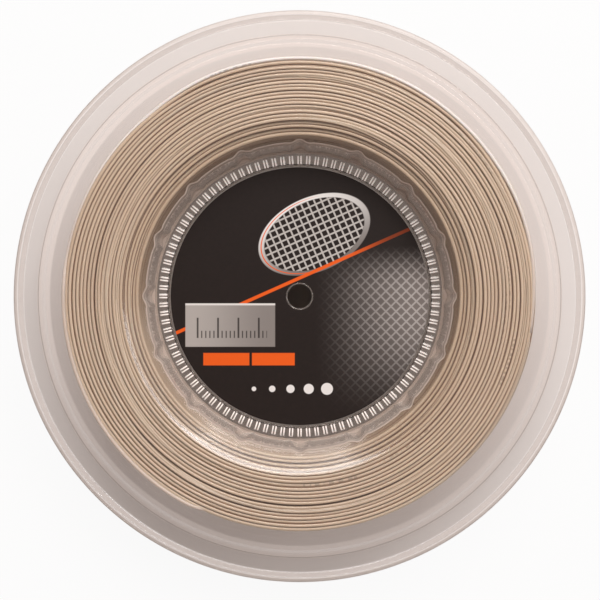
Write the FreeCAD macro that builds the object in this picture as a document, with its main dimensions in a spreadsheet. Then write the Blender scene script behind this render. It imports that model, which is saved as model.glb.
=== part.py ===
import FreeCAD, Part
import Sketcher
import math
import os

# A reel of racket string, lying on its rear flange with its axis along +Z and the origin under its centre.
# Two identical clear mouldings meet back to back at the middle plane. Each has a flange with a raised lip,
# a dish that sinks towards the hub, and a well whose wall carries sixteen flutes. The front well holds a
# printed card inside a clear ring of a hundred teeth. The string fills the space between the flanges.
# All sizes are millimetres.

SIZES = (
    ("reel_width", 46.0, "overall width, lip to lip"),
    ("flange_r", 84.0, "outer radius of both flanges"),
    ("flange_t", 1.6, "wall of flange and dish"),
    ("lip_w", 4.0, "radial width of the raised lip"),
    ("lip_proud", 1.0, "how far the lip stands out of the flange's face"),
    ("lip_slope_w", 1.9, "radial width of the lip's inner slope"),
    ("lip_bevel_w", 1.1, "radial width of the lip's outer bevel"),
    ("lip_bevel_drop", 0.6, "axial height of the lip's outer bevel"),
    ("dish_w", 7.7, "radial width of the dish between the flat flange and the well's mouth"),
    ("dish_depth", 4.6, "depth of the dish at the well's mouth"),
    ("well_foot_r", 44.5, "radius of the well at its floor"),
    ("well_draft", 0.8, "how much wider the well is at its mouth"),
    ("flute_count", 16, "flutes round the well"),
    ("flute_depth", 1.9, "how far a flute reaches out past the well's foot"),
    ("flute_crest_w", 1.4, "width of a flute at its crest"),
    ("flute_mouth_w", 4.2, "width of a flute where it opens into the well"),
    ("barrel_wall", 1.2, "wall between a flute's crest and the outside of the hub's barrel"),
    ("floor_t", 1.8, "thickness of one well floor"),
    ("bore_r", 3.75, "radius of the spindle bore"),
    ("collar_wall", 0.5, "wall of the collar round the bore"),
    ("collar_rise", 0.9, "height of the collar over the well floor"),
    ("peg_place_r", 24.0, "distance of the centring peg and of its socket from the axis"),
    ("peg_r", 1.5, "radius of the centring peg"),
    ("peg_rise", 1.1, "height of the centring peg"),
    ("peg_play", 0.1, "clearance round and over a peg in its socket"),
    ("ring_w", 4.5, "radial width of the toothed ring"),
    ("ring_base_t", 0.6, "thickness of the ring's base"),
    ("ring_play", 0.2, "clearance between the ring and the well's foot"),
    ("tooth_count", 100, "teeth round the ring"),
    ("tooth_w", 0.9, "width of one tooth"),
    ("tooth_length", 2.3, "radial length of one tooth"),
    ("tooth_inset", 1.0, "distance of a tooth's outer end from the ring's edge"),
    ("tooth_rise", 1.3, "height of a tooth over the well floor"),
    ("label_play", 0.3, "gap between the card and the toothed ring"),
    ("label_t", 0.35, "thickness of the card"),
    ("label_hole_play", 0.2, "gap between the card's hole and the collar"),
    ("string_d", 1.25, "diameter of the string"),
    ("pack_r", 69.5, "radius over the outermost layer of string"),
    ("string_gap", 0.3, "gap between the string and the mouldings"),
    ("layer_gap", 0.05, "gap between the outermost layer and the layers under it"),
    ("groove_count", 7, "grooves between the layers' ends, drawn on the front of the string beyond the dish"),
    ("groove_depth", 0.8, "depth of those grooves"),
    ("turn_count", 3, "turns drawn in the outermost layer"),
    ("string_end_deg", 247.0, "where the string's free end lies, anticlockwise from +X"),
)

doc = FreeCAD.newDocument("StringReel")
sheet = doc.addObject("Spreadsheet::Sheet", "Sizes")
for row, (alias, value, note) in enumerate(SIZES, start=1):
    sheet.set("A%d" % row, note)
    sheet.set("B%d" % row, str(value))
    sheet.setAlias("B%d" % row, alias)
doc.recompute()

# Radii and heights that several pieces share, as expressions on the sheet. Heights count from the middle
# plane outwards, so that both halves use the same ones.
LIP_FACE = "(Sizes.reel_width / 2)"
FACE = "(Sizes.reel_width / 2 - Sizes.lip_proud)"
FLANGE_BACK = "(Sizes.reel_width / 2 - Sizes.lip_proud - Sizes.flange_t)"
MOUTH_R = "(Sizes.well_foot_r + Sizes.well_draft)"
DISH_R = "(Sizes.well_foot_r + Sizes.well_draft + Sizes.dish_w)"
DISH_SLOPE = "(Sizes.dish_depth / Sizes.dish_w)"
BARREL_R = "(Sizes.well_foot_r + Sizes.flute_depth + Sizes.barrel_wall)"
COLLAR_R = "(Sizes.bore_r + Sizes.collar_wall)"
PACK_IN_R = "(%s + Sizes.string_gap)" % BARREL_R
PACK_OUT_R = "(Sizes.pack_r - Sizes.string_d - Sizes.layer_gap)"
PACK_SIDE = "(%s - Sizes.string_gap)" % FLANGE_BACK
RING_R = "(Sizes.well_foot_r - Sizes.ring_play)"
RING_IN_R = "(%s - Sizes.ring_w)" % RING_R
LABEL_R = "(%s - Sizes.label_play)" % RING_IN_R

# The least volume, in cubic millimetres, that counts as a change, and the points measured on each turn.
LEAST_CHANGE = 0.01
SAMPLES_PER_TURN = 48


def value_of(expression):
    """The number that an expression on the sheet gives."""
    return float(sheet.evalExpression(expression))


def at(side, height):
    """The height over the lower lip of a height that counts from the middle plane to one side."""
    return "Sizes.reel_width / 2 %s %s" % ("+" if side > 0 else "-", height)


def origin_feature(body, role):
    """The body's own origin plane or axis with this role."""
    return next(item for item in body.Origin.OriginFeatures if item.Role == role)


def new_body(label):
    body = doc.addObject("PartDesign::Body", label)
    body.Label = label
    return body


def new_sketch(body, name, role, height=None):
    """A sketch on one of the body's origin planes, lifted by an expression where one is given."""
    sketch = body.newObject("Sketcher::SketchObject", name)
    sketch.AttachmentSupport = (origin_feature(body, role), [""])
    sketch.MapMode = "FlatFace"
    if height is not None:
        sketch.setExpression("AttachmentOffset.Base.z", height)
    return sketch


def dimension(sketch, kind, place, expression):
    """One dimension of a sketch, driven by the sheet."""
    index = sketch.addConstraint(Sketcher.Constraint(kind, *place, value_of(expression)))
    sketch.setExpression("Constraints[%d]" % index, expression)


def draw_outline(sketch, corners):
    """A closed outline of straight lines, each corner held by its two dimensions."""
    points = [FreeCAD.Vector(value_of(across), value_of(up), 0) for across, up in corners]
    lines = [Part.LineSegment(point, points[(i + 1) % len(points)]) for i, point in enumerate(points)]
    sketch.addGeometry(lines, False)
    for i, (across, up) in enumerate(corners):
        sketch.addConstraint(Sketcher.Constraint("Coincident", i, 2, (i + 1) % len(points), 1))
        dimension(sketch, "DistanceX", (-1, 1, i, 1), across)
        dimension(sketch, "DistanceY", (-1, 1, i, 1), up)


def draw_circle(sketch, radius, place="0"):
    """A circle whose middle lies on the sketch's X axis, at a place along it."""
    middle = FreeCAD.Vector(value_of(place), 0, 0)
    index = sketch.addGeometry(Part.Circle(middle, FreeCAD.Vector(0, 0, 1), value_of(radius)), False)
    sketch.addConstraint(Sketcher.Constraint("PointOnObject", index, 3, -1))
    dimension(sketch, "DistanceX", (-1, 1, index, 3), place)
    dimension(sketch, "Radius", (index,), radius)


def revolve(body, name, corners):
    """A closed outline in the XZ plane, turned once round the reel's axis."""
    sketch = new_sketch(body, name + "_outline", "XZ_Plane")
    draw_outline(sketch, corners)
    feature = body.newObject("PartDesign::Revolution", name)
    feature.Profile = sketch
    feature.ReferenceAxis = (sketch, ["V_Axis"])
    feature.Angle = 360
    doc.recompute()


def check_changed(body, name, before, adds):
    """Stops the build where a feature that adds or cuts material did not do so."""
    change = body.Shape.Volume - before
    if (change if adds else -change) < LEAST_CHANGE:
        raise RuntimeError("%s of %s changed nothing" % (name, body.Label))


def extrude(body, name, sketch, length, upwards, adds=True):
    """A pad, or a pocket where it doesn't add, from the sketch upwards or downwards."""
    doc.recompute()
    before = body.Shape.Volume if body.Tip else 0.0
    feature = body.newObject("PartDesign::Pad" if adds else "PartDesign::Pocket", name)
    feature.Profile = sketch
    feature.Type = "Length"
    feature.Reversed = upwards != adds
    feature.setExpression("Length", length)
    doc.recompute()
    check_changed(body, name, before, adds)
    return feature


def repeat_round_axis(body, name, feature, count, adds=True):
    """Copies of a feature, evenly round the reel's axis."""
    before = body.Shape.Volume
    pattern = body.newObject("PartDesign::PolarPattern", name)
    pattern.Originals = [feature]
    pattern.Axis = (origin_feature(body, "Z_Axis"), [""])
    pattern.Angle = 360
    pattern.setExpression("Occurrences", count)
    body.Tip = pattern
    doc.recompute()
    check_changed(body, name, before, adds)


def build_half(label, side):
    """One clear moulding, on the front side (1) or the rear side (-1) of the middle plane."""
    body = new_body(label)
    under_dish = "(%s - %s * (%s - %s))" % (FLANGE_BACK, DISH_SLOPE, DISH_R, BARREL_R)
    revolve(body, "shell", (
        ("Sizes.bore_r", at(side, "0")),
        (BARREL_R, at(side, "0")),
        (BARREL_R, at(side, under_dish)),
        (DISH_R, at(side, FLANGE_BACK)),
        ("Sizes.flange_r", at(side, FLANGE_BACK)),
        ("Sizes.flange_r", at(side, "(%s - Sizes.lip_bevel_drop)" % LIP_FACE)),
        ("Sizes.flange_r - Sizes.lip_bevel_w", at(side, LIP_FACE)),
        ("Sizes.flange_r - Sizes.lip_w + Sizes.lip_slope_w", at(side, LIP_FACE)),
        ("Sizes.flange_r - Sizes.lip_w", at(side, FACE)),
        (DISH_R, at(side, FACE)),
        (MOUTH_R, at(side, "(%s - Sizes.dish_depth)" % FACE)),
        ("Sizes.well_foot_r", at(side, "Sizes.floor_t")),
        (COLLAR_R, at(side, "Sizes.floor_t")),
        (COLLAR_R, at(side, "(Sizes.floor_t + Sizes.collar_rise)")),
        ("Sizes.bore_r", at(side, "(Sizes.floor_t + Sizes.collar_rise)")),
    ))

    # A flute's section starts in the open well, and its cut runs from the floor out through the mouth.
    flute_root_r = "Sizes.well_foot_r - Sizes.flute_depth / 2"
    flute_crest_r = "Sizes.well_foot_r + Sizes.flute_depth"
    sketch = new_sketch(body, "flute_section", "XY_Plane", at(side, "Sizes.floor_t"))
    draw_outline(sketch, (
        (flute_root_r, "-Sizes.flute_mouth_w / 2"),
        (flute_crest_r, "-Sizes.flute_crest_w / 2"),
        (flute_crest_r, "Sizes.flute_crest_w / 2"),
        (flute_root_r, "Sizes.flute_mouth_w / 2"),
    ))
    flute_length = "%s - Sizes.floor_t" % FACE
    flute = extrude(body, "flute", sketch, flute_length, side > 0, adds=False)
    repeat_round_axis(body, "flutes", flute, "Sizes.flute_count", adds=False)

    # A peg stands out of the back, and the socket across from it takes the other half's peg.
    sketch = new_sketch(body, "peg_circle", "XY_Plane", at(side, "0"))
    draw_circle(sketch, "Sizes.peg_r", "%d * Sizes.peg_place_r" % side)
    extrude(body, "peg", sketch, "Sizes.peg_rise", side < 0)
    sketch = new_sketch(body, "socket_circle", "XY_Plane", at(side, "0"))
    draw_circle(sketch, "Sizes.peg_r + Sizes.peg_play", "%d * Sizes.peg_place_r" % -side)
    extrude(body, "socket", sketch, "Sizes.peg_rise + Sizes.peg_play", side > 0, adds=False)
    return body


def build_label_ring():
    """The clear ring round the card: a flat base that carries the radial teeth."""
    body = new_body("label_ring")
    ring_top = "(Sizes.floor_t + Sizes.ring_base_t)"
    revolve(body, "base", (
        (RING_IN_R, at(1, "Sizes.floor_t")),
        (RING_R, at(1, "Sizes.floor_t")),
        (RING_R, at(1, ring_top)),
        (RING_IN_R, at(1, ring_top)),
    ))
    tooth_out_r = "%s - Sizes.tooth_inset" % RING_R
    tooth_in_r = "%s - Sizes.tooth_inset - Sizes.tooth_length" % RING_R
    sketch = new_sketch(body, "tooth_section", "XY_Plane", at(1, ring_top))
    draw_outline(sketch, (
        (tooth_in_r, "-Sizes.tooth_w / 2"),
        (tooth_out_r, "-Sizes.tooth_w / 2"),
        (tooth_out_r, "Sizes.tooth_w / 2"),
        (tooth_in_r, "Sizes.tooth_w / 2"),
    ))
    tooth = extrude(body, "tooth", sketch, "Sizes.tooth_rise - Sizes.ring_base_t", True)
    repeat_round_axis(body, "teeth", tooth, "Sizes.tooth_count")
    return body


def build_label():
    """The printed card on the front well's floor, round the collar and inside the toothed ring."""
    body = new_body("label")
    sketch = new_sketch(body, "card_outline", "XY_Plane", at(1, "Sizes.floor_t"))
    draw_circle(sketch, LABEL_R)
    draw_circle(sketch, COLLAR_R + " + Sizes.label_hole_play")
    extrude(body, "card", sketch, "Sizes.label_t", True)
    return body


def build_string_pack():
    """The layers of string under the outermost one, which follow both dishes down to the barrel. On the front, where
    the flange shows them, the layers end as ridges: every second one stands out, and grooves lie between."""
    body = new_body("string_pack")
    inner_side = "(%s - %s * (%s - %s))" % (PACK_SIDE, DISH_SLOPE, DISH_R, PACK_IN_R)
    groove_side = "(%s - Sizes.groove_depth)" % PACK_SIDE
    ridge_w = "(%s - %s) / (Sizes.groove_count + 0.1)" % (PACK_OUT_R, DISH_R)
    corners = [
        (PACK_IN_R, at(-1, inner_side)),
        (DISH_R, at(-1, PACK_SIDE)),
        (PACK_OUT_R, at(-1, PACK_SIDE)),
        (PACK_OUT_R, at(1, PACK_SIDE)),
    ]
    count = int(value_of("Sizes.groove_count"))
    for groove in range(count):
        corners.append(("%s - %.1f * %s" % (PACK_OUT_R, groove + 0.7, ridge_w), at(1, groove_side)))
        if groove < count - 1:
            corners.append(("%s - %.1f * %s" % (PACK_OUT_R, groove + 1.2, ridge_w), at(1, PACK_SIDE)))
    corners.append((DISH_R, at(1, PACK_SIDE)))
    corners.append((PACK_IN_R, at(1, inner_side)))
    revolve(body, "layers", corners)
    return body


def biarc(start, start_way, end, end_way):
    """Two arcs from start to end, tangent to both directions and to each other."""
    chord = end - start
    ways = start_way + end_way
    spread = 2 * (1 - start_way.dot(end_way))
    along = chord.dot(ways)
    reach = (math.sqrt(along ** 2 + spread * chord.dot(chord)) - along) / spread
    corners = (start + start_way * reach, end - end_way * reach)
    joint = (corners[0] + corners[1]) / 2
    arcs = []
    for first, corner, last in ((start, corners[0], joint), (joint, corners[1], end)):
        middle = (first + last) / 2
        rise = corner - middle
        half_chord = (last - first).Length / 2
        turn = math.atan2(rise.Length, half_chord)
        rise.normalize()
        arcs.append(Part.Arc(first, middle + rise * (half_chord * math.tan(turn / 2)), last).toShape())
    return arcs


def least_gap(points, diameter):
    """The least gap between the string and its own next turn, measured on points of its path."""
    gaps = []
    for i, point in enumerate(points):
        far = points[i + SAMPLES_PER_TURN // 2:]
        if far:
            gaps.append(min(point.distanceToPoint(other) for other in far) - diameter)
    return min(gaps)


def build_outer_winding():
    """The outermost layer: one unbroken string, faceted, with a straight stretch at each end."""
    diameter = value_of("Sizes.string_d")
    radius = value_of("Sizes.pack_r") - diameter / 2
    turns = int(value_of("Sizes.turn_count"))
    middle = value_of("Sizes.reel_width / 2")
    reach = value_of(PACK_SIDE) - diameter / 2
    climb = 2 * reach / turns
    # Both straight stretches go on climbing for one diameter, which the arcs leave room for.
    climb -= 2 * diameter * climb / (2 * math.pi * radius) / turns
    end_angle = math.radians(value_of("Sizes.string_end_deg"))
    rate = climb / (2 * math.pi)

    def point(angle):
        height = middle + rate * (angle + math.pi * turns)
        turned = end_angle + angle
        return FreeCAD.Vector(radius * math.cos(turned), radius * math.sin(turned), height)

    def way(angle):
        turned = end_angle + angle
        direction = FreeCAD.Vector(-radius * math.sin(turned), radius * math.cos(turned), rate)
        return direction.normalize()

    angles = [math.pi * (i - 2 * turns) for i in range(2 * turns + 1)]
    tail = point(angles[0]) - way(angles[0]) * diameter
    tip = point(angles[-1]) + way(angles[-1]) * diameter
    edges = [Part.LineSegment(tail, point(angles[0])).toShape()]
    for first, last in zip(angles, angles[1:]):
        edges += biarc(point(first), way(first), point(last), way(last))
    edges.append(Part.LineSegment(point(angles[-1]), tip).toShape())
    path = Part.Wire(edges)

    # The section is a square on its corner, as wide as the string is thick, whichever way it rolls.
    outwards = FreeCAD.Vector(tail.x, tail.y, 0).normalize()
    outwards = (outwards - way(angles[0]) * outwards.dot(way(angles[0]))).normalize()
    across = way(angles[0]).cross(outwards)
    half = diameter / 2
    corners = [tail + way_out * half for way_out in (outwards, across, -outwards, -across)]
    sweep = Part.BRepOffsetAPI.MakePipeShell(path)
    sweep.add(Part.makePolygon(corners + corners[:1]))
    sweep.build()
    sweep.makeSolid()
    winding = doc.addObject("Part::Feature", "outer_winding")
    winding.Label = "outer_winding"
    winding.Shape = sweep.shape()

    section = 2 * half ** 2
    samples = [point(angles[0] + 2 * math.pi * i / SAMPLES_PER_TURN)
               for i in range(turns * SAMPLES_PER_TURN + 1)]
    print("outer winding: %d turns, %.1f mm of string" % (turns, path.Length))
    print("volume %.1f, section times length %.1f" % (winding.Shape.Volume, section * path.Length))
    print("least gap between turns %.3f mm" % least_gap(samples, diameter))
    return winding


def check_document():
    """Stops the build where any object failed."""
    doc.recompute()
    for item in doc.Objects:
        if "Invalid" in item.State or "Error" in item.State:
            raise RuntimeError("%s failed: %s" % (item.Label, item.State))


def write_parts(pieces):
    os.makedirs("parts", exist_ok=True)
    for piece in pieces:
        if piece.Shape.isNull() or not piece.Shape.isValid():
            raise RuntimeError("%s has no valid shape" % piece.Label)
        piece.Shape.exportStep("parts/%s.step" % piece.Label)
        box = piece.Shape.BoundBox
        print("%-14s %2d solid, %9.1f mm3, z %.2f to %.2f" % (
            piece.Label, len(piece.Shape.Solids), piece.Shape.Volume, box.ZMin, box.ZMax))


pieces = [
    build_half("front_half", 1),
    build_half("rear_half", -1),
    build_label_ring(),
    build_label(),
    build_string_pack(),
    build_outer_winding(),
]
check_document()
write_parts(pieces)
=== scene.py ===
import math

import bpy
import numpy as np
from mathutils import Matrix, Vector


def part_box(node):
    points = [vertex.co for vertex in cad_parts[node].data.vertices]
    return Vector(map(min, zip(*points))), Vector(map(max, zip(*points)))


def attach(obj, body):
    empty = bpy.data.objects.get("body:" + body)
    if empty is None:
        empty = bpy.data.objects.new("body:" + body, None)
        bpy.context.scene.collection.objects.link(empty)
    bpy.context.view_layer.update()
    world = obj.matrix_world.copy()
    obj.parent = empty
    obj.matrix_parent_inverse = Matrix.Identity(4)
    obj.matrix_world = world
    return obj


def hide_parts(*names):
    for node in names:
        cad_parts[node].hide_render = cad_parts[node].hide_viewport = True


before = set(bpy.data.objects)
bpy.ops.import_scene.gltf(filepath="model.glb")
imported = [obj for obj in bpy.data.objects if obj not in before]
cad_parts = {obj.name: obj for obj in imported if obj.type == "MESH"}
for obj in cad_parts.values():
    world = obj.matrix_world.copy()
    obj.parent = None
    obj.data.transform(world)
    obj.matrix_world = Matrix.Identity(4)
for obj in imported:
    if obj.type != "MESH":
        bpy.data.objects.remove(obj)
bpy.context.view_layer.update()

# A reel of racket string on a plain floor, seen straight down its axis. Sizes are metres. Heights in a
# moulding count from the reel's middle plane outwards, because both mouldings are the same one, turned over.

MM = 0.001
BODY = "root"
FRONT_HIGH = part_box("front_half")[1]
REAR_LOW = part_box("rear_half")[0]
MIDDLE = (REAR_LOW.z + FRONT_HIGH.z) / 2
HALF_WIDTH = FRONT_HIGH.z - MIDDLE

# The moulding. Its joint is dull outside JOINT_DULL_R.
FLANGE_R = FRONT_HIGH.x
FLANGE_T = 1.6 * MM
LIP_W = 2.7 * MM
LIP_PROUD = 1.0 * MM
LIP_SLOPE_W = 1.4 * MM
LIP_BEVEL_W = 0.9 * MM
LIP_BEVEL_DROP = 0.15 * MM
FACE = HALF_WIDTH - LIP_PROUD
FLANGE_BACK = FACE - FLANGE_T
WELL_FOOT_R = 44.5 * MM
WELL_MOUTH_R = 45.1 * MM
DISH_R = 53.0 * MM
DISH_DEPTH = 4.6 * MM
DISH_SLOPE = DISH_DEPTH / (DISH_R - WELL_MOUTH_R)
MOUTH_HEIGHT = FACE - DISH_DEPTH
BARREL_R = 46.0 * MM
BARREL_FOOT_R = 45.4 * MM
BARREL_TOP = FLANGE_BACK - DISH_SLOPE * (DISH_R - BARREL_R)
FLOOR_T = 1.8 * MM
BORE_R = 3.75 * MM
COLLAR_R = 4.1 * MM
COLLAR_RISE = 0.9 * MM
SEAM = 0.02 * MM
JOINT_DULL_R = 43.8 * MM

# Its flutes. They fade in on the well floor, from FLUTES_FROM_R to FLUTES_FULL_R, and end on the dish, at
# FLUTES_END_R. The mesh is finer within FLUTE_REACH of each flute's middle.
FLUTES = 16
FLUTE_DEPTH = 0.8 * MM
FLUTE_CREST_W = 0.5 * MM
FLUTE_MOUTH_W = 5.0 * MM
FLUTE_CUSP = 0.15 * MM
FLUTE_CUSP_W = 0.6 * MM
FLUTE_CUSP_OFFSET = 0.6 * FLUTE_MOUTH_W
FLUTES_FROM_R = 43.6 * MM
FLUTES_FULL_R = 44.2 * MM
FLUTES_END_R = 49.5 * MM
FLUTE_REACH = 4.4 * MM
FINE_STEPS = 16
COARSE_STEPS = 7

# The toothed ring and the card. A tooth has its full width at TOOTH_GAUGE_R.
WELL_FLOOR = MIDDLE + FLOOR_T + SEAM
RING_OUT_R = 44.3 * MM
RING_IN_R = 39.8 * MM
RING_BASE_T = 0.6 * MM
RING_RIM_W = 0.55 * MM
RING_RIM_RISE = 0.5 * MM
RING_RISE = 1.3 * MM
RING_SCALLOP = 0.2 * MM
TEETH = 100
TOOTH_IN_R = 40.45 * MM
TOOTH_OUT_R = 43.0 * MM
TOOTH_GAUGE_R = 42.0 * MM
TOOTH_W = 1.0 * MM
TOOTH_FLANK = 0.17 * MM
TOOTH_END = 0.12 * MM
TOOTH_EDGE_W = 0.45 * MM
CARD_R = 39.5 * MM
CARD_HOLE_R = 4.2 * MM
CARD_T = 0.35 * MM

# The string. Of a hidden layer, only the SHOWN_TURNS nearest to each of its ends are drawn.
STRING_D = 1.25 * MM
STRING_SIDES = 8
PACK_R = 69.5 * MM
PACK_IN_R = 47.9 * MM
PACK_SIDE = FLANGE_BACK - 0.3 * MM
LAYERS = 20
TURN_PITCH = 1.27 * MM
NEST = 0.45 * MM
STEPS_PER_TURN = 160
CLIMB_TURNS = 0.1
SHOWN_TURNS = 2.2
WINDING_SEED = 11
OUTER_BULGE = 0.4 * MM
TOP_BULGE = 0.55 * MM
CORE_DEPTH = 1.9 * MM

# The free end: the angles where it starts and stops, how far out it lies, how deep it sinks in on its way,
# and how far its tip slips inwards and down.
LAST_CLIMB_DEG = -9.0
END_DEG = 249.0
END_OUT = 1.0 * MM
END_SINK = 1.9 * MM
TIP_IN = 1.3 * MM
TIP_DOWN = 0.9 * MM

# The floor's own light, as shares of white. The camera, which sees the floor past the reel from WHITE_FROM_R
# on, gets NEAR_WHITE there and white at the far radii. Reflections and the view through plastic get the rest:
# painted light on the floor under the well, the flanges, the rear lip and the reel's edge.
WHITE_FROM_R = 92.2 * MM
NEAR_WHITE = 0.92
FAR_WHITE_R = (150 * MM, 400 * MM)
WELL_GLOW = 0.17
FLANGE_GLOW = 0.12
LIP_GLOW = 0.16
LIP_GLOW_LAMP_SIDE = 0.66
LIP_GLOW_Y = (-60 * MM, 85 * MM)
EDGE_GLOW = 0.6
EDGE_GLOW_R = (90.3 * MM, 94 * MM)
BESIDE_GLOW = 0.2
BESIDE_GLOW_R = (89 * MM, 100 * MM)
FAR_GLOW_R = (120 * MM, 300 * MM)


def linear(hex_colour):
    """A display colour such as c8b090 as linear red, green, blue and alpha."""
    shares = [int(hex_colour[i:i + 2], 16) / 255 for i in (0, 2, 4)]
    return [s / 12.92 if s <= 0.04045 else ((s + 0.055) / 1.055) ** 2.4 for s in shares] + [1.0]


def smooth(value, low, high):
    """0 below low, 1 above high, and an even ease between them."""
    share = np.clip((value - low) / (high - low), 0, 1)
    return share * share * (3 - 2 * share)


def plateau(value, rise, fall):
    """1 between two eased stretches, each given by its ends, and 0 outside them."""
    return smooth(value, *rise) * (1 - smooth(value, *fall))


# Meshes

def add_mesh(name, verts, faces, material, stands_for=(), more=(), which=None):
    """A smooth-shaded mesh object that rides on the reel. With more than one material, the argument which
    gives the number of each face's."""
    mesh = bpy.data.meshes.new(name)
    mesh.from_pydata(np.asarray(verts).tolist(), [], [tuple(face) for face in faces])
    mesh.shade_smooth()
    mesh.materials.append(material)
    for other in more:
        mesh.materials.append(other)
    if which is not None:
        mesh.polygons.foreach_set("material_index", np.asarray(which, dtype=np.int32))
    piece = bpy.data.objects.new(name, mesh)
    bpy.context.scene.collection.objects.link(piece)
    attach(piece, BODY)
    if stands_for:
        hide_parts(*stands_for)
    return piece


def grid_faces(rows, columns, first=0, wrap_rows=True):
    """Quads between neighbours of a grid of points stored row by row, in which each row is a closed ring."""
    row = np.arange(rows if wrap_rows else rows - 1)
    row, column = np.meshgrid(row, np.arange(columns), indexing="ij")
    next_row = (row + 1) % rows
    next_column = (column + 1) % columns
    quads = [row * columns + column, next_row * columns + column,
             next_row * columns + next_column, row * columns + next_column]
    return (np.stack(quads, axis=-1).reshape(-1, 4) + first).tolist()


def points_round(radius, height, angles):
    """Points round the reel's axis, with one row of radii and heights for each angle."""
    turn = angles[:, None]
    return np.stack((radius * np.cos(turn), radius * np.sin(turn), height + 0 * turn), axis=-1).reshape(-1, 3)


def repeat_angles(one, count):
    """The angles of one sector repeated all round, and each one's offset from the nearest sector's middle."""
    sector = 2 * math.pi / count
    angles = np.concatenate([one + sector * i for i in range(count)])
    return angles, np.tile(np.where(one > sector / 2, one - sector, one), count)


def rounded(corners, steps=6, support=0.08 * MM):
    """A closed outline through corners (radius, height, rounding), with each rounding as an arc.
    A point just outside each arc keeps the flat stretches flat under smooth shading."""
    points = []
    for i, (radius, height, rounding) in enumerate(corners):
        here = np.array((radius, height))
        before = np.array(corners[i - 1][:2]) - here
        after = np.array(corners[(i + 1) % len(corners)][:2]) - here
        room = min(np.linalg.norm(before), np.linalg.norm(after)) / 2
        before /= np.linalg.norm(before)
        after /= np.linalg.norm(after)
        turn = math.pi - math.acos(np.clip(before @ after, -1, 1))
        reach = min(rounding * math.tan(turn / 2), room * 0.9)
        bend = reach / math.tan(turn / 2)
        inward = before + after
        centre = here + inward / np.linalg.norm(inward) * math.hypot(reach, bend)
        start = here + before * reach - centre
        end = here + after * reach - centre
        side = np.sign(start[0] * end[1] - start[1] * end[0])
        if reach + support < room:
            points.append(here + before * (reach + support))
        for step in range(steps + 1):
            angle = side * turn * step / steps
            points.append(centre + np.array((start[0] * math.cos(angle) - start[1] * math.sin(angle),
                                             start[0] * math.sin(angle) + start[1] * math.cos(angle))))
        if reach + support < room:
            points.append(here + after * (reach + support))
    return np.array(points)


def add_revolved(name, outline, count, material, stands_for=()):
    """A closed outline turned once round the reel's axis."""
    verts = points_round(outline[:, 0], outline[:, 1], np.linspace(0, 2 * math.pi, count, endpoint=False))
    add_mesh(name, verts, grid_faces(count, len(outline)), material, stands_for)


def half_outline():
    """The moulding's section, anticlockwise from the bore's foot: back, flange, lip, dish, well, collar."""
    return (
        (BORE_R, SEAM, 0.1 * MM),
        (BARREL_FOOT_R, SEAM, 0.15 * MM),
        (BARREL_R, BARREL_TOP, 0.8 * MM),
        (DISH_R, FLANGE_BACK, 7.0 * MM),
        (FLANGE_R, FLANGE_BACK, 0.3 * MM),
        (FLANGE_R, HALF_WIDTH - LIP_BEVEL_DROP, 0.15 * MM),
        (FLANGE_R - LIP_BEVEL_W, HALF_WIDTH, 0.4 * MM),
        (FLANGE_R - LIP_W + LIP_SLOPE_W, HALF_WIDTH, 0.5 * MM),
        (FLANGE_R - LIP_W, FACE, 0.9 * MM),
        (DISH_R, FACE, 7.5 * MM),
        (WELL_MOUTH_R, MOUTH_HEIGHT, 2.2 * MM),
        (WELL_FOOT_R, FLOOR_T, 0.4 * MM),
        (COLLAR_R, FLOOR_T, 0.15 * MM),
        (COLLAR_R, FLOOR_T + COLLAR_RISE, 0.12 * MM),
        (BORE_R, FLOOR_T + COLLAR_RISE, 0.12 * MM),
    )


def flute_angles():
    """Angles round the reel, closer together at the flutes, and each one's angle from its flute."""
    reach = FLUTE_REACH / WELL_FOOT_R
    inside = np.linspace(-reach, reach, 2 * FINE_STEPS + 1)
    outside = np.linspace(reach, 2 * math.pi / FLUTES - reach, 2 * COARSE_STEPS + 1)[1:-1]
    return repeat_angles(np.concatenate((inside, outside)), FLUTES)


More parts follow.
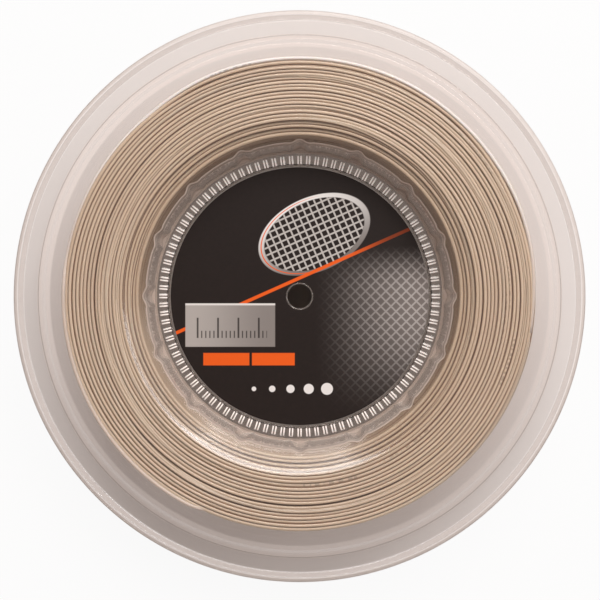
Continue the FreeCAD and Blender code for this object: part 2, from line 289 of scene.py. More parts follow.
def build_half(name, front, materials, node):
    """One clear moulding with its flutes, which are as deep outside as inside, so that the wall is even. Its
    materials are those of the clear body, the lip's slope, the rim, and the barrel's outside and joint."""
    outline = rounded(half_outline())
    outline = np.insert(outline, np.argmax(outline[:, 0] > JOINT_DULL_R), (JOINT_DULL_R, SEAM), axis=0)
    angles, offsets = flute_angles()
    radius, height = outline.T
    across = np.abs(offsets[:, None] * WELL_FOOT_R)
    rise = 1 - smooth(across, FLUTE_CREST_W / 2, FLUTE_MOUTH_W / 2)
    cusp = np.exp(-((across - FLUTE_CUSP_OFFSET) / FLUTE_CUSP_W) ** 2)
    # How far each point of the section follows the flutes: the wall fully, the floor and dish beside it less.
    barrel_from_r = BARREL_FOOT_R - 0.4 * MM
    over_string = FLANGE_BACK - DISH_SLOPE * (DISH_R - radius)
    front_face = (height > FLOOR_T - 0.01 * MM) & (radius < FLUTES_END_R)
    outside = (radius > barrel_from_r) & (radius < FLUTES_END_R) & (height < over_string + 0.8 * MM)
    follow = np.where(radius < WELL_FOOT_R, smooth(radius, FLUTES_FROM_R, FLUTES_FULL_R),
                      1 - smooth(radius, WELL_MOUTH_R + 0.4 * MM, FLUTES_END_R))
    follow = np.where(front_face, follow, 0)
    follow = np.where(outside, 1 - smooth(radius, BARREL_R, FLUTES_END_R), follow)
    push = (FLUTE_DEPTH * rise - FLUTE_CUSP * cusp) * follow
    # Where the wall has turned into the dish, a point that is pushed outwards also rises along the slope.
    turning = 2 * MM
    on_dish = np.where(outside, smooth(height, over_string - turning, over_string),
                       smooth(height, MOUTH_HEIGHT - turning, MOUTH_HEIGHT))
    # The material of each stretch of the section.
    middle_r, middle_h = ((outline + np.roll(outline, -1, axis=0)) / 2).T
    slope_top_r = FLANGE_R - LIP_W + LIP_SLOPE_W
    rounding = 0.3 * MM
    stretch = np.zeros(len(outline), dtype=int)
    stretch[(middle_r > FLANGE_R - LIP_W) & (middle_r < slope_top_r) & (middle_h > FACE)] = 1
    stretch[(middle_r > FLANGE_R - LIP_BEVEL_W) & (middle_h > FLANGE_BACK + rounding)] = 2
    barrel = (middle_r > barrel_from_r) & (middle_r < BARREL_R + rounding)
    stretch[barrel & (middle_h < BARREL_TOP + rounding)] = 3
    stretch[(middle_h < 3 * SEAM) & (middle_r > JOINT_DULL_R)] = 3
    side = 1 if front else -1
    verts = points_round(radius + push, MIDDLE + side * (height + push * DISH_SLOPE * on_dish), angles)
    verts[:, 0] *= side
    add_mesh(name, verts, grid_faces(len(angles), len(outline)), materials[0], [node],
             materials[1:], np.tile(stretch, len(angles)))


def build_ring(material):
    """The clear ring round the card, with its scalloped rim and its hundred rounded teeth."""
    same_height = 1e-7
    base_top = WELL_FLOOR + RING_BASE_T
    rim_top = base_top + RING_RIM_RISE
    rim_out = RING_IN_R + RING_RIM_W
    outline = rounded((
        (RING_IN_R, WELL_FLOOR, 0.08 * MM),
        (RING_OUT_R, WELL_FLOOR, 0.08 * MM),
        (RING_OUT_R, base_top, 0.15 * MM),
        (rim_out, base_top, 0.2 * MM),
        (rim_out - 0.1 * MM, rim_top, 0.15 * MM),
        (RING_IN_R, rim_top, 0.2 * MM),
    ), steps=4)
    # The flat top between rim and edge gets more points, for the teeth to rise from.
    top = np.where(np.abs(outline[:, 1] - base_top) < same_height)[0]
    first, last = top[np.argmax(outline[top, 0])], top[np.argmin(outline[top, 0])]
    beyond = 0.25 * MM
    span = np.concatenate((
        np.linspace(outline[first, 0], TOOTH_OUT_R + beyond, 3)[1:-1],
        np.linspace(TOOTH_OUT_R + beyond, TOOTH_OUT_R - beyond, 7),
        np.linspace(TOOTH_OUT_R - beyond, TOOTH_IN_R + beyond, 5)[1:-1],
        np.linspace(TOOTH_IN_R + beyond, TOOTH_IN_R - beyond, 7),
    ))
    extra = np.stack((span, np.full(len(span), base_top)), axis=-1)
    outline = np.concatenate((outline[:first + 1], extra, outline[last:]))
    half_w = TOOTH_W / 2 / TOOTH_GAUGE_R
    flank = TOOTH_FLANK / TOOTH_GAUGE_R
    angles, offsets = repeat_angles(np.concatenate((
        np.linspace(-half_w - flank, -half_w + flank, 5),
        np.linspace(-half_w + flank, half_w - flank, 3)[1:-1],
        np.linspace(half_w - flank, half_w + flank, 5),
        np.linspace(half_w + flank, 2 * math.pi / TEETH - half_w - flank, 4)[1:-1],
    )), TEETH)
    radius, height = outline.T
    along = plateau(radius, (TOOTH_IN_R - TOOTH_END, TOOTH_IN_R + TOOTH_END),
                    (TOOTH_OUT_R - TOOTH_END, TOOTH_OUT_R + TOOTH_END))
    beside = 1 - smooth(np.abs(offsets[:, None]), half_w - flank, half_w + flank)
    on_top = np.abs(height - base_top) < same_height
    height = height + on_top * along * beside * (RING_RISE - RING_BASE_T)
    wave = RING_SCALLOP * (1 - np.cos(TEETH * angles[:, None])) / 2
    radius = radius + wave * (1 - smooth(radius, RING_IN_R, rim_out))
    add_mesh("toothed_ring", points_round(radius, height, angles), grid_faces(len(angles), len(outline)),
             material, ["label_ring"])


def build_tooth_edges(material):
    """The two bright, rounded long edges of every tooth: a painted highlight and glow."""
    low = WELL_FLOOR + RING_BASE_T - 0.05 * MM
    high = WELL_FLOOR + RING_RISE + 0.03 * MM
    section = rounded((
        (-TOOTH_EDGE_W / 2, low, 0.02 * MM),
        (TOOTH_EDGE_W / 2, low, 0.02 * MM),
        (TOOTH_EDGE_W / 2, high, 0.15 * MM),
        (-TOOTH_EDGE_W / 2, high, 0.15 * MM),
    ), steps=3, support=0.03 * MM)
    # Along the edge, the section shrinks into a rounded end.
    tapers = ((0, 0.5), (0.05 * MM, 0.8), (0.16 * MM, 1.0))
    stations = [(TOOTH_IN_R + step, share) for step, share in tapers]
    stations += [(TOOTH_OUT_R - step, share) for step, share in reversed(tapers)]
    verts, faces, count = [], [], 0
    for tooth in range(TEETH):
        angle = 2 * math.pi * tooth / TEETH
        outward = np.array((math.cos(angle), math.sin(angle)))
        aside = np.array((-outward[1], outward[0]))
        for side in (-1, 1):
            for radius, share in stations:
                across = side * (TOOTH_W - TOOTH_EDGE_W * 0.3) / 2 + section[:, 0] * share
                place = outward * radius + aside * across[:, None]
                rise = low + (section[:, 1] - low) * share
                verts.append(np.column_stack((place, rise)))
            faces += grid_faces(len(stations), len(section), count, wrap_rows=False)
            last = count + (len(stations) - 1) * len(section)
            faces.append(list(range(count, count + len(section))))
            faces.append(list(range(last + len(section) - 1, last - 1, -1)))
            count += len(stations) * len(section)
    add_mesh("ring_tooth_edges", np.concatenate(verts), faces, material)


def build_card(material):
    """The round printed card with its punched hole and slightly rounded edges."""
    outline = rounded((
        (CARD_HOLE_R, WELL_FLOOR, 0.05 * MM),
        (CARD_R, WELL_FLOOR, 0.05 * MM),
        (CARD_R, WELL_FLOOR + CARD_T, 0.08 * MM),
        (CARD_HOLE_R, WELL_FLOOR + CARD_T, 0.08 * MM),
    ), steps=3)
    add_revolved("printed_card", outline, 360, material, ["label"])


# The winding

def side_height(radius):
    """How far from the middle plane the string's centre may lie at this radius."""
    sunk = np.clip(DISH_R - radius, 0, None) * DISH_SLOPE
    lean = math.hypot(1, DISH_SLOPE)
    clear = np.where(radius < DISH_R, STRING_D / 2 * lean, STRING_D / 2)
    return PACK_SIDE - sunk - clear


def wind_string():
    """The centreline of the whole string, wound layer on layer. Gives for each sample its angle in turns, its
    radius and height, its layer and its distance from the nearer end of that layer, in turns."""
    rng = np.random.default_rng(WINDING_SEED)
    layer_r = np.linspace(PACK_IN_R + STRING_D / 2, PACK_R - STRING_D / 2, LAYERS)
    # Neighbouring layers end at slightly different heights, so that their turns nest a little.
    tops = side_height(layer_r) - NEST * (np.arange(LAYERS) % 2)
    turns = 2 * tops / TURN_PITCH + 2 + rng.uniform(-0.45, 0.45, LAYERS)
    starts = np.concatenate(([0], np.cumsum(turns)))
    starts += LAST_CLIMB_DEG / 360 - starts[-1]
    gap = layer_r[1] - layer_r[0]
    samples = []
    for layer in range(LAYERS):
        count = int(round(turns[layer] * STEPS_PER_TURN))
        done = np.linspace(0, turns[layer], count, endpoint=False)
        left = turns[layer] - done
        upwards = 1 if (LAYERS - 1 - layer) % 2 == 0 else -1
        share = np.clip((done - 1) / (turns[layer] - 2), 0, 1)
        height = upwards * (2 * share - 1) * tops[layer]
        radius = np.full(count, layer_r[layer])
        if layer + 1 < LAYERS:
            rise = 0.5 * smooth(-left, -CLIMB_TURNS, 0)
            radius += gap * rise
            height += upwards * (tops[layer + 1] - tops[layer]) * rise
        else:
            radius += OUTER_BULGE * smooth(done, 1, 3) * smooth(left, 0.9, 2.2)
            # The last turn gives way outwards where the free end lies beside it.
            degrees = (starts[layer] + done) % 1 * 360
            radius += TOP_BULGE * (plateau(degrees, (20, 50), (112, 130)) * smooth(-left, -1.1, -0.95))
        if layer:
            fall = 0.5 * (1 - smooth(done, 0, CLIMB_TURNS))
            radius -= gap * fall
            height += upwards * (tops[layer] - tops[layer - 1]) * fall
        near = np.minimum(done, left)
        samples.append(np.stack((starts[layer] + done, radius, height, np.full(count, layer), near), axis=-1))
    # The last part-turn lies on the outermost layer, at the front, and stops at the free end.
    free = (END_DEG - LAST_CLIMB_DEG) / 360
    count = int(free * STEPS_PER_TURN)
    done = np.linspace(0, free, count)
    degrees = LAST_CLIMB_DEG + done * 360
    climbed = smooth(done, 0, CLIMB_TURNS)
    humps = 0.35 * smooth(degrees, -5, 12) + 0.25 * smooth(degrees, 48, 64)
    radius = layer_r[-1] + END_OUT * climbed + humps * (1 - smooth(degrees, 108, 130)) * MM
    height = tops[-1] + NEST * climbed - END_SINK * plateau(degrees, (118, 140), (164, 180))
    # Its tip slips in under the turn beside it.
    tip = smooth(degrees, END_DEG - 8, END_DEG + 1)
    radius -= TIP_IN * tip
    height -= TIP_DOWN * tip
    samples.append(np.stack((starts[-1] + done, radius, height, np.full(count, LAYERS), 0 * done), axis=-1))
    path = np.concatenate(samples)
    # Slow waves, a little different in each turn, because no winding is perfectly even.
    turn, layer = path[:, 0], path[:, 3]
    wave = np.zeros(len(path))
    lift = np.zeros(len(path))
    for frequency, size in ((0.62, 0.11), (1.37, 0.08), (2.81, 0.04)):
        phase = rng.uniform(0, 2 * math.pi, 2)
        wave += size * MM * np.sin(2 * math.pi * frequency * turn + phase[0] + layer * 2.1)
        lift += size * MM * np.sin(2 * math.pi * frequency * turn * 0.973 + phase[1] + layer * 1.3)
    wave *= 1 - 0.8 * (layer == LAYERS)
    path[:, 1] += wave
    path[:, 2] -= np.sign(path[:, 2]) * (np.abs(lift) * 0.6 + 0.03 * MM)
    return path


def tube(path):
    """Points and faces of a round tube on samples of turn, radius and height."""
    around = np.linspace(0, 2 * math.pi, STRING_SIDES, endpoint=False)
    radius = path[:, 1, None] + STRING_D / 2 * np.cos(around)
    height = MIDDLE + path[:, 2, None] + STRING_D / 2 * np.sin(around)
    faces = grid_faces(len(path), STRING_SIDES, wrap_rows=False)
    last = (len(path) - 1) * STRING_SIDES
    faces.append(list(range(STRING_SIDES)))
    faces.append([last + STRING_SIDES - 1 - i for i in range(STRING_SIDES)])
    return points_round(radius, height, path[:, 0] * 2 * math.pi), faces


def build_stretches(name, path, keep, material, stands_for=(), stacked=False):
    """One piece from every unbroken run of the samples that are kept. Its flank attribute is 1 where a turn
    touches its neighbours: above and below it where the turns are stacked in a layer, and otherwise inwards
    and outwards. The string's material paints shade there."""
    edges = np.flatnonzero(np.diff(np.concatenate(([0], keep.astype(int), [0]))))
    sideways = np.diff(path[:, 0]) * 2 * math.pi * path[1:, 1]
    length = np.concatenate(([0], np.cumsum(np.hypot(sideways, np.diff(path[:, 2])))))
    turn = np.linspace(0, 2 * math.pi, STRING_SIDES, endpoint=False)
    touch = np.abs(np.sin(turn) if stacked else np.cos(turn))
    verts, faces, along, around, flank, count = [], [], [], [], [], 0
    for first, last in zip(edges[::2], edges[1::2]):
        stretch = path[first:last]
        if len(stretch) < 4:
            continue
        points, quads = tube(stretch)
        verts.append(points)
        faces += [[index + count for index in face] for face in quads]
        along.append(np.repeat(length[first:last], STRING_SIDES))
        around.append(np.tile(np.linspace(0, 1, STRING_SIDES, endpoint=False), len(stretch)))
        # A layer's first and last turn has nothing above or below it to touch.
        open_side = smooth(stretch[:, 4], 0.7, 1.3) if stacked else np.ones(len(stretch))
        flank.append(np.tile(touch, len(stretch)) * np.repeat(open_side, STRING_SIDES))
        count += len(points)
    piece = add_mesh(name, np.concatenate(verts), faces, material, stands_for)
    for label, values in (("along", along), ("around", around), ("flank", flank)):
        attribute = piece.data.attributes.new(label, "FLOAT", "POINT")
        attribute.data.foreach_set("value", np.concatenate(values).astype(np.float32))


def build_core(material):
    """The inside of the pack, painted dark for the shade there, which only shows in the gaps between turns.
    """
    corners = []
    inner, outer = PACK_IN_R + CORE_DEPTH, PACK_R - CORE_DEPTH
    for radius, side in ((inner, -1), (DISH_R, -1), (outer, -1), (outer, 1), (DISH_R, 1), (inner, 1)):
        corners.append((radius, MIDDLE + side * (float(side_height(radius)) - CORE_DEPTH), 0.5 * MM))
    add_revolved("string_core", rounded(corners, steps=3), 180, material)


# Materials

def new_material(name, kind="ShaderNodeBsdfPrincipled"):
    """A material with its node tree emptied but for one shader and the output, which aren't linked yet."""
    material = bpy.data.materials.new(name)
    material.use_nodes = True
    tree = material.node_tree
    tree.nodes.clear()
    return material, tree, tree.nodes.new(kind), tree.nodes.new("ShaderNodeOutputMaterial")


def math_node(tree, operation, *values):
    """A Math node with its inputs set or linked."""
    node = tree.nodes.new("ShaderNodeMath")
    node.operation = operation
    for socket, value in zip(node.inputs, values):
        if isinstance(value, (int, float)):
            socket.default_value = value
        else:
            tree.links.new(value, socket)
    return node.outputs[0]


def product(tree, value, *others):
    """The product of values, each a socket or a number."""
    for other in others:
        value = math_node(tree, "MULTIPLY", value, other)
    return value


def greatest(tree, value, *others):
    """The greatest of values, each a socket or a number."""
    for other in others:
        value = math_node(tree, "MAXIMUM", value, other)
    return value


def length_of(tree, x, y):
    """How far the point (x, y) lies from (0, 0)."""
    squares = [math_node(tree, "POWER", value, 2) for value in (x, y)]
    return math_node(tree, "SQRT", math_node(tree, "ADD", *squares))


def mix_colours(tree, factor, first, second):
    """A colour between two, each a socket or a colour."""
    node = tree.nodes.new("ShaderNodeMix")
    node.data_type = "RGBA"
    for socket, value in ((node.inputs["Factor"], factor), (node.inputs[6], first), (node.inputs[7], second)):
        if isinstance(value, bpy.types.NodeSocket):
            tree.links.new(value, socket)
        else:
            socket.default_value = value
    return node.outputs[2]


def mix_shaders(tree, factor, first, second, output):
    """Gives the output the first shader at factor 0 and the second at factor 1."""
    mix = tree.nodes.new("ShaderNodeMixShader")
    tree.links.new(factor, mix.inputs[0])
    tree.links.new(first.outputs[0], mix.inputs[1])
    tree.links.new(second.outputs[0], mix.inputs[2])
    tree.links.new(mix.outputs[0], output.inputs[0])


def ray_kinds(tree):
    """The outputs that tell which kind of ray meets the surface."""
    return tree.nodes.new("ShaderNodeLightPath").outputs


def let_light_through(tree, shader, through, output):
    """Gives the output the shader, but the transparent one for rays that carry shadow and diffuse light."""
    rays = ray_kinds(tree)
    passes = greatest(tree, rays["Is Shadow Ray"], rays["Is Diffuse Ray"])
    mix_shaders(tree, passes, shader, through, output)


def object_coordinates(tree):
    """The place on the object."""
    return tree.nodes.new("ShaderNodeTexCoord").outputs["Object"]


def split_xy(tree, vector):
    """A vector's x and y."""
    node = tree.nodes.new("ShaderNodeSeparateXYZ")
    tree.links.new(vector, node.inputs[0])
    return node.outputs["X"], node.outputs["Y"]


def attribute_node(tree, name):
    """The number that the mesh keeps for each point under this name."""
    node = tree.nodes.new("ShaderNodeAttribute")
    node.attribute_name = name
    return node.outputs["Fac"]


def ramp_node(tree, value, low, high, at_low, at_high):
    """An eased ramp from at_low, at the value low, to at_high, at the value high."""
    node = tree.nodes.new("ShaderNodeMapRange")
    node.interpolation_type = "SMOOTHSTEP"
    numbers = (("From Min", low), ("From Max", high), ("To Min", at_low), ("To Max", at_high))
    for name, number in numbers:
        node.inputs[name].default_value = number
    tree.links.new(value, node.inputs["Value"])
    return node.outputs["Result"]


def noise_node(tree, place, scale, detail=3.0, dimensions="3D"):
    """Noise over a place in space, or with the dimensions 1D over one number."""
    node = tree.nodes.new("ShaderNodeTexNoise")
    node.noise_dimensions = dimensions
    node.inputs["Scale"].default_value = scale
    node.inputs["Detail"].default_value = detail
    tree.links.new(place, node.inputs["W" if dimensions == "1D" else "Vector"])
    return node.outputs["Fac"]


def clear_plastic():
    """Clear moulded plastic, faintly warm, which lets the lamps' light through."""
    material, tree, shader, output = new_material("clear_plastic")
    coordinates = object_coordinates(tree)
    cloud = noise_node(tree, coordinates, 25.0, 2.0)
    tint = mix_colours(tree, cloud, (0.955, 0.928, 0.914, 1), (0.98, 0.96, 0.95, 1))
    # The dish and all that lies inside it is a little duller, and darker by a painted shade in the plastic's
    # tint.
    radius = length_of(tree, *split_xy(tree, coordinates))
    in_dish = ramp_node(tree, radius, DISH_R - 2.5 * MM, DISH_R + 1.5 * MM, 1, 0)
    tint = mix_colours(tree, in_dish, tint, (0.85, 0.81, 0.78, 1))
    tree.links.new(tint, shader.inputs["Base Color"])
    tree.links.new(ramp_node(tree, in_dish, 0, 1, 0.015, 0.13), shader.inputs["Roughness"])
    shader.inputs["IOR"].default_value = 1.46
    shader.inputs["Transmission Weight"].default_value = 1.0
    bump = tree.nodes.new("ShaderNodeBump")
    bump.inputs["Strength"].default_value = 0.1
    bump.inputs["Distance"].default_value = 0.2 * MM
    swell = product(tree, noise_node(tree, coordinates, 90.0, 2.0), ramp_node(tree, in_dish, 0, 1, 1, 0.4))
    tree.links.new(swell, bump.inputs["Height"])
    tree.links.new(bump.outputs[0], shader.inputs["Normal"])
    # Light that meets the plastic at a slant, at edges and slopes, is bent away and leaves a faint dark line.
    through = tree.nodes.new("ShaderNodeBsdfTransparent")
    slant = tree.nodes.new("ShaderNodeLayerWeight")
    slant.inputs["Blend"].default_value = 0.5
    bent = ramp_node(tree, slant.outputs["Facing"], 0.5, 0.95, 0, 1)
    shade = mix_colours(tree, bent, (0.985, 0.98, 0.978, 1), (0.7, 0.66, 0.64, 1))
    tree.links.new(shade, through.inputs["Color"])
    let_light_through(tree, shader, through, output)
    return material


def painted_glow_edges():
    """The teeth's long edges, pale and faintly emissive: a painted highlight and glow that stand in for light
    which the plastic has carried along inside and lets out again.
    """
    material, tree, shader, output = new_material("painted_glow_edges")
    cloud = noise_node(tree, object_coordinates(tree), 600.0, 2.0)
    tree.links.new(mix_colours(tree, cloud, linear("e2d4cc"), linear("fbf1ea")), shader.inputs["Base Color"])
    # A faint painted glow.
    shader.inputs["Emission Color"].default_value = (1.0, 0.91, 0.87, 1)
    shader.inputs["Emission Strength"].default_value = 0.3
    tree.links.new(ramp_node(tree, cloud, 0.3, 0.7, 0.2, 0.45), shader.inputs["Roughness"])
    tree.links.new(shader.outputs[0], output.inputs[0])
    return material


def cloudy_plastic(name, low, high, roughness, clear):
    """The same plastic where it is cloudy or dull: part of the light spreads in it instead of passing."""
    material, tree, shader, output = new_material(name)
    cloud = noise_node(tree, object_coordinates(tree), 400.0, 2.0)
    tree.links.new(mix_colours(tree, cloud, linear(low), linear(high)), shader.inputs["Base Color"])
    shader.inputs["Roughness"].default_value = roughness
    shader.inputs["IOR"].default_value = 1.5
    shader.inputs["Transmission Weight"].default_value = clear
    through = tree.nodes.new("ShaderNodeBsdfTransparent")
    through.inputs["Color"].default_value = (0.95, 0.93, 0.92, 1)
    let_light_through(tree, shader, through, output)
    return material


def string_plastic(name, tone, lower_shade_tone=None):
    """Translucent string with slow changes of tone along it and small printed dashes, and on request painted
    shade: another tone on the lower half of the reel, away from the lamps."""
    material, tree, shader, output = new_material(name)
    along = attribute_node(tree, "along")
    slow = noise_node(tree, along, 9.0, 2.0, "1D")
    base = mix_colours(tree, slow, linear(tone[0]), linear(tone[1]))
    if lower_shade_tone:
        # Painted shade: the lower half of the reel, on the side away from the lamps, gets the other tone.
        _, y = split_xy(tree, object_coordinates(tree))
        base = mix_colours(tree, ramp_node(tree, y, -10 * MM, 45 * MM, 1, 0), base, linear(lower_shade_tone))
    # Faint printed dashes: short groups a third of a metre apart, each on another side of the string.
    place = product(tree, along, 3.1)
    in_group = math_node(tree, "LESS_THAN", math_node(tree, "FRACT", place), 0.05)
    dash = math_node(tree, "GREATER_THAN", noise_node(tree, along, 700.0, 0.0, "1D"), 0.5)
    side = math_node(tree, "FRACT", product(tree, math_node(tree, "FLOOR", place), 0.381))
    facing = math_node(tree, "COMPARE", attribute_node(tree, "around"), side, 0.1)
    ink = product(tree, in_group, dash, facing, 0.35)
    base = mix_colours(tree, ink, base, linear("4a362c"))
    # Painted shade where the turns touch, which darkens the crevices between them.
    crease_shade = ramp_node(tree, attribute_node(tree, "flank"), 0.38, 0.92, 0, 0.93)
    base = mix_colours(tree, crease_shade, base, linear(tone[2]))
    tree.links.new(base, shader.inputs["Base Color"])
    shader.inputs["Roughness"].default_value = 0.3
    shader.inputs["IOR"].default_value = 1.53
    shader.inputs["Subsurface Weight"].default_value = 0.2
    shader.inputs["Subsurface Radius"].default_value = (1.0, 0.75, 0.5)
    shader.inputs["Subsurface Scale"].default_value = 0.8 * MM
    tree.links.new(shader.outputs[0], output.inputs[0])
    return material


def core_material():
    """The string in the shade between the turns."""
    material, tree, shader, output = new_material("string_shadow")
    shade = noise_node(tree, object_coordinates(tree), 120.0)
    tree.links.new(mix_colours(tree, shade, linear("4a2c14"), linear("5e3a1c")), shader.inputs["Base Color"])
    shader.inputs["Roughness"].default_value = 0.7
    tree.links.new(shader.outputs[0], output.inputs[0])
    return material


def band(tree, value, low, high, soft=0.12):
    """1 where the value lies between low and high, 0 elsewhere."""
    return product(tree, ramp_node(tree, value, low - soft, low + soft, 0, 1),
                   ramp_node(tree, value, high - soft, high + soft, 1, 0))


def stripes(tree, value, pitch, width):
    """1 on thin lines that repeat at a pitch."""
    distance = math_node(tree, "PINGPONG", value, pitch / 2)
    return ramp_node(tree, distance, width / 2 - 0.1, width / 2 + 0.1, 1, 0)


def weave(tree, x, y, pitch, width=0.5):
    """1 on thin lines that cross each other."""
    return greatest(tree, stripes(tree, x, pitch, width), stripes(tree, y, pitch, width))


def turned(tree, x, y, degrees, centre=(0, 0)):
    """The two coordinates seen from a frame at centre that is turned by an angle."""
    x = math_node(tree, "SUBTRACT", x, centre[0])
    y = math_node(tree, "SUBTRACT", y, centre[1])
    c, s = math.cos(math.radians(degrees)), math.sin(math.radians(degrees))
    along = math_node(tree, "ADD", product(tree, x, c), product(tree, y, s))
    across = math_node(tree, "ADD", product(tree, x, -s), product(tree, y, c))
    return along, across


def card_print():
    """The card's print, in millimetres from its centre: on charcoal, a strung oval over a slanting orange
    line, a pale panel with a plain scale, two orange cells and a row of dots."""
    charcoal, orange, pale = linear("211916"), linear("f4611a"), linear("b9b0aa")
    material, tree, shader, output = new_material("card_print")
    coordinates = object_coordinates(tree)
    x, y = [product(tree, metres, 1000) for metres in split_xy(tree, coordinates)]
    shade = mix_colours(tree, noise_node(tree, coordinates, 900.0), charcoal, linear("291f1c"))

    # A soft pale fade on the lower right, crossed by a fine weave.
    fade = product(tree, ramp_node(tree, x, 4, 40, 0, 1), ramp_node(tree, y, -38, -4, 0, 1),
                   ramp_node(tree, y, 2, 16, 1, 0))
    shade = mix_colours(tree, product(tree, fade, 0.8), shade, linear("8f8580"))
    cloth = product(tree, weave(tree, *turned(tree, x, y, 45), 2.2), product(tree, fade, 0.55))
    shade = mix_colours(tree, cloth, shade, linear("d8d0cb"))

    # The strung oval and its frame, which lean as the line below them does.
    lean = 24
    along, across = turned(tree, x, y, lean, (4.5, 19.0))
    oval = length_of(tree, math_node(tree, "DIVIDE", along, 17.5), math_node(tree, "DIVIDE", across, 11.0))
    bed = product(tree, weave(tree, along, across, 2.05), ramp_node(tree, oval, 0.9, 0.94, 1, 0))
    shade = mix_colours(tree, product(tree, bed, 0.9), shade, linear("cfc7c1"))
    rim_shade = mix_colours(tree, ramp_node(tree, across, -11, 11, 0, 1), linear("7d736e"), linear("f3eeea"))
    shade = mix_colours(tree, band(tree, oval, 0.925, 1.03, 0.012), shade, rim_shade)
    inlay = product(tree, band(tree, oval, 0.972, 0.992, 0.008), ramp_node(tree, along, -4, 8, 1, 0))
    shade = mix_colours(tree, inlay, shade, orange)
    along, across = turned(tree, x, y, lean)
    line = product(tree, band(tree, across, 4.6, 5.6), ramp_node(tree, along, 16, 34, 1, 0.25))
    shade = mix_colours(tree, line, shade, orange)

    # The panel with its lit edge and its scale.
    panel_x, panel_top, ticks_foot = (-35, -7.5), -2.2, -12.8
    panel = product(tree, band(tree, x, *panel_x), band(tree, y, -15.5, panel_top))
    panel_shade = mix_colours(tree, ramp_node(tree, x, -36, -8, 0, 1), pale, linear("8e8580"))
    shade = mix_colours(tree, panel, shade, panel_shade)
    lit = product(tree, band(tree, x, *panel_x), band(tree, y, -2.8, panel_top))
    shade = mix_colours(tree, lit, shade, linear("e9e3de"))
    fine_ticks = product(tree, stripes(tree, x, 1.25, 0.35), band(tree, y, ticks_foot, -10.6))
    long_ticks = product(tree, stripes(tree, x, 6.25, 0.55), band(tree, y, ticks_foot, -6.6))
    ticks = product(tree, greatest(tree, fine_ticks, long_ticks), band(tree, x, -32, -10))
    shade = mix_colours(tree, product(tree, ticks, 0.85), shade, charcoal)

    # The two cells and the dots, each a little larger than the one before it.
    cells = math_node(tree, "ADD", band(tree, x, -29.5, -15.4), band(tree, x, -14.6, -1.5))
    shade = mix_colours(tree, product(tree, cells, band(tree, y, -21.2, -17.4)), shade, orange)
    for i in range(5):
        reach = length_of(tree, *turned(tree, x, y, 0, (-14 + 5.6 * i, -28.4)))
        size = 0.7 + 0.28 * i
        dot = ramp_node(tree, reach, size - 0.1, size + 0.1, 1, 0)
        shade = mix_colours(tree, dot, shade, linear("f2ece8"))
    tree.links.new(shade, shader.inputs["Base Color"])
    shader.inputs["Roughness"].default_value = 0.45
    shader.inputs["Specular IOR Level"].default_value = 0.2
    tree.links.new(shader.outputs[0], output.inputs[0])
    return material


def floor_material():
    """A pale floor. Beyond the reel's edge it shows nearly white and keeps a faint shadow; through the
    plastic the whole shadow shows, and a painted glow stands in for light coming up through the open
    rear well."""
    material, tree, shader, output = new_material("pale_floor", "ShaderNodeBsdfDiffuse")
    coordinates = object_coordinates(tree)
    grain = noise_node(tree, coordinates, 60.0)
    length = tree.nodes.new("ShaderNodeVectorMath")
    length.operation = "LENGTH"
    tree.links.new(coordinates, length.inputs[0])
    distance = length.outputs["Value"]
    # The reel's edge leaves a thin line of shadow where it nearly touches.
    paper = mix_colours(tree, grain, (0.8, 0.77, 0.755, 1), (0.84, 0.81, 0.795, 1))
    line = 0.15 * MM
    contact = product(tree, band(tree, distance, FLANGE_R - line, FLANGE_R + line, line), 0.8)
    tree.links.new(mix_colours(tree, contact, paper, linear("5c4c45")), shader.inputs["Color"])
    beside = greatest(
        tree, ramp_node(tree, distance, FLANGE_R + 1 * MM, WHITE_FROM_R + 0.5 * MM, 0, NEAR_WHITE),
        ramp_node(tree, distance, *FAR_WHITE_R, 0, 1))
    # Painted light, seen through the plastic and in reflections, stands in for the light that the rear lip
    # gathers where it touches the floor, most of it on the lamp's side; a little painted light lies under all
    # the flanges, and a painted bright band beside the reel shows through its very edge.
    _, y = split_xy(tree, coordinates)
    soft = 0.3 * MM
    lip = band(tree, distance, FLANGE_R - 3.8 * MM, FLANGE_R - 0.2 * MM, soft)
    lip = product(tree, lip, ramp_node(tree, y, *LIP_GLOW_Y, LIP_GLOW, LIP_GLOW_LAMP_SIDE))
    behind = greatest(
        tree, ramp_node(tree, distance, *BESIDE_GLOW_R, 0, BESIDE_GLOW),
        ramp_node(tree, distance, WELL_FOOT_R, DISH_R, WELL_GLOW, 0),
        ramp_node(tree, distance, *FAR_GLOW_R, 0, 1),
        math_node(tree, "ADD", lip, FLANGE_GLOW),
        product(tree, band(tree, distance, *EDGE_GLOW_R, soft), EDGE_GLOW))
    glow = tree.nodes.new("ShaderNodeEmission")
    # The painted glow is warm under the reel and white beyond WHITE_FROM_R.
    cool = ramp_node(tree, distance, WHITE_FROM_R - 0.5 * MM, WHITE_FROM_R, 0, 1)
    tree.links.new(mix_colours(tree, cool, (1.0, 0.9, 0.85, 1), (1, 1, 1, 1)), glow.inputs["Color"])
    rays = ray_kinds(tree)
    indirect = greatest(tree, rays["Is Glossy Ray"], rays["Is Transmission Ray"])
    factor = greatest(tree, product(tree, rays["Is Camera Ray"], beside), product(tree, indirect, behind))
    mix_shaders(tree, factor, shader, glow, output)
    return material


# Camera, light and floor

def add_camera():
    """Straight down the axis, from the distance that gives the two flanges their sizes in the picture."""
    camera_height = 523 * MM
    half_view_at_lip = 88.1 * MM
    centre_px = (299.6, 296.2)
    picture_px = 600
    data = bpy.data.cameras.new("camera")
    data.angle = 2 * math.atan(half_view_at_lip / (camera_height - FRONT_HIGH.z))
    data.shift_x = (picture_px / 2 - centre_px[0]) / picture_px
    data.shift_y = (centre_px[1] - picture_px / 2) / picture_px
    data.clip_start = 10 * MM
    camera = bpy.data.objects.new("camera", data)
    camera.location = (0, 0, camera_height)
    bpy.context.scene.collection.objects.link(camera)
    bpy.context.scene.camera = camera


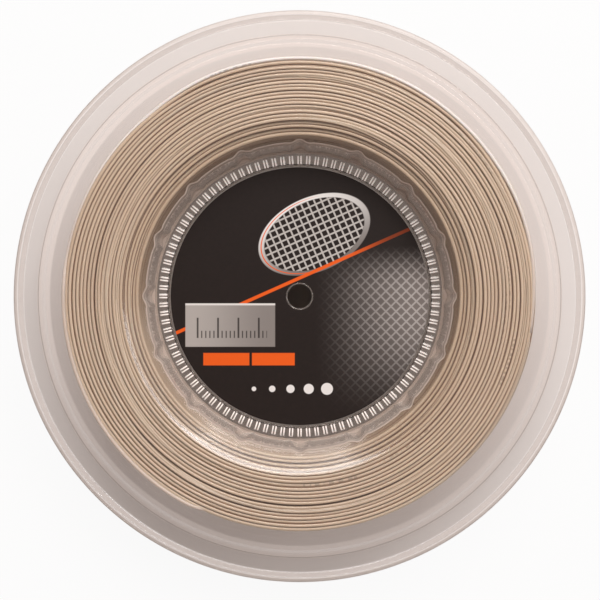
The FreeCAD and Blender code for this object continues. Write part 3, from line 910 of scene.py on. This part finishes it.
def add_lamp(name, place, size, watts):
    """A soft white rectangular lamp that faces the reel."""
    data = bpy.data.lights.new(name, "AREA")
    data.shape = "RECTANGLE"
    data.size, data.size_y = size
    data.energy = watts
    lamp = bpy.data.objects.new(name, data)
    lamp.location = place
    aim = -lamp.location.normalized()
    lamp.rotation_euler = aim.to_track_quat("-Z", "Y").to_euler()
    lamp.visible_camera = False
    bpy.context.scene.collection.objects.link(lamp)


def add_world():
    """Even, faintly warm light from all round, which the camera sees as white."""
    world = bpy.data.worlds.new("studio")
    bpy.context.scene.world = world
    world.use_nodes = True
    tree = world.node_tree
    tree.nodes.clear()
    output = tree.nodes.new("ShaderNodeOutputWorld")
    light = tree.nodes.new("ShaderNodeBackground")
    light.inputs["Color"].default_value = (1.0, 0.88, 0.83, 1)
    light.inputs["Strength"].default_value = 0.33
    white = tree.nodes.new("ShaderNodeBackground")
    white.inputs["Color"].default_value = (1, 1, 1, 1)
    white.inputs["Strength"].default_value = 1.0
    rays = ray_kinds(tree)
    seen = greatest(tree, rays["Is Camera Ray"], product(tree, rays["Is Transmission Ray"], 0.6))
    mix_shaders(tree, seen, light, white, output)


def add_floor():
    """A large floor just under the reel."""
    reach = 4.0
    verts = [(-reach, -reach, 0), (reach, -reach, 0), (reach, reach, 0), (-reach, reach, 0)]
    mesh = bpy.data.meshes.new("floor")
    mesh.from_pydata(verts, [], [(0, 1, 2, 3)])
    mesh.materials.append(floor_material())
    floor = bpy.data.objects.new("floor", mesh)
    floor.location.z = -0.05 * MM
    bpy.context.scene.collection.objects.link(floor)


add_camera()
add_world()
add_floor()
add_lamp("key_lamp", (0.1, 0.655, 0.878), (0.8, 0.45), 7.9)
add_lamp("side_lamp", (0.56, 0.34, 0.878), (0.6, 0.22), 2.3)
bpy.context.scene.view_settings.view_transform = "Standard"

plastic = clear_plastic()
lip = cloudy_plastic("cloudy_lip", "dfd2cb", "ebe0da", 0.15, 0.82)
rim = cloudy_plastic("bright_rim", "d8cdc6", "e4dad4", 0.3, 0.5)
barrel = cloudy_plastic("dull_barrel", "ead8cc", "f8eadf", 0.3, 0.3)
build_half("front_moulding", True, (plastic, lip, rim, barrel), "front_half")
build_half("rear_moulding", False, (plastic, plastic, plastic, barrel), "rear_half")
build_ring(plastic)
build_tooth_edges(painted_glow_edges())
build_card(card_print())

# The string's two tones along it, and the dark tone of the painted shade where turns touch.
string = string_plastic("racket_string", ("c8b097", "e0c9af", "6a3e1b"))
# The free end: the same string painted paler, for the light that reaches a lone strand from all sides, with
# painted shade where it touches and on the lower half of the reel.
lit_end_plastic = string_plastic("string_end", ("f4ece6", "fdf8f4", "d6c9be"), "d6c4b6")
path = wind_string()
height, layer, near = path[:, 2], path[:, 3], path[:, 4]
outer = layer >= LAYERS - 1
inner = layer == 0
free_end = layer == LAYERS
turns_shown = (near < SHOWN_TURNS) & ~outer & ~inner
build_stretches("string_free_end", path, free_end, lit_end_plastic)
build_stretches("string_outer_layer", path, outer & ~free_end, string, ["outer_winding"], stacked=True)
build_stretches("string_inner_layer", path, inner, string, stacked=True)
build_stretches("string_front_turns", path, turns_shown & (height > 0), string, ["string_pack"])
build_stretches("string_rear_turns", path, turns_shown & (height < 0), string)
build_core(core_material())
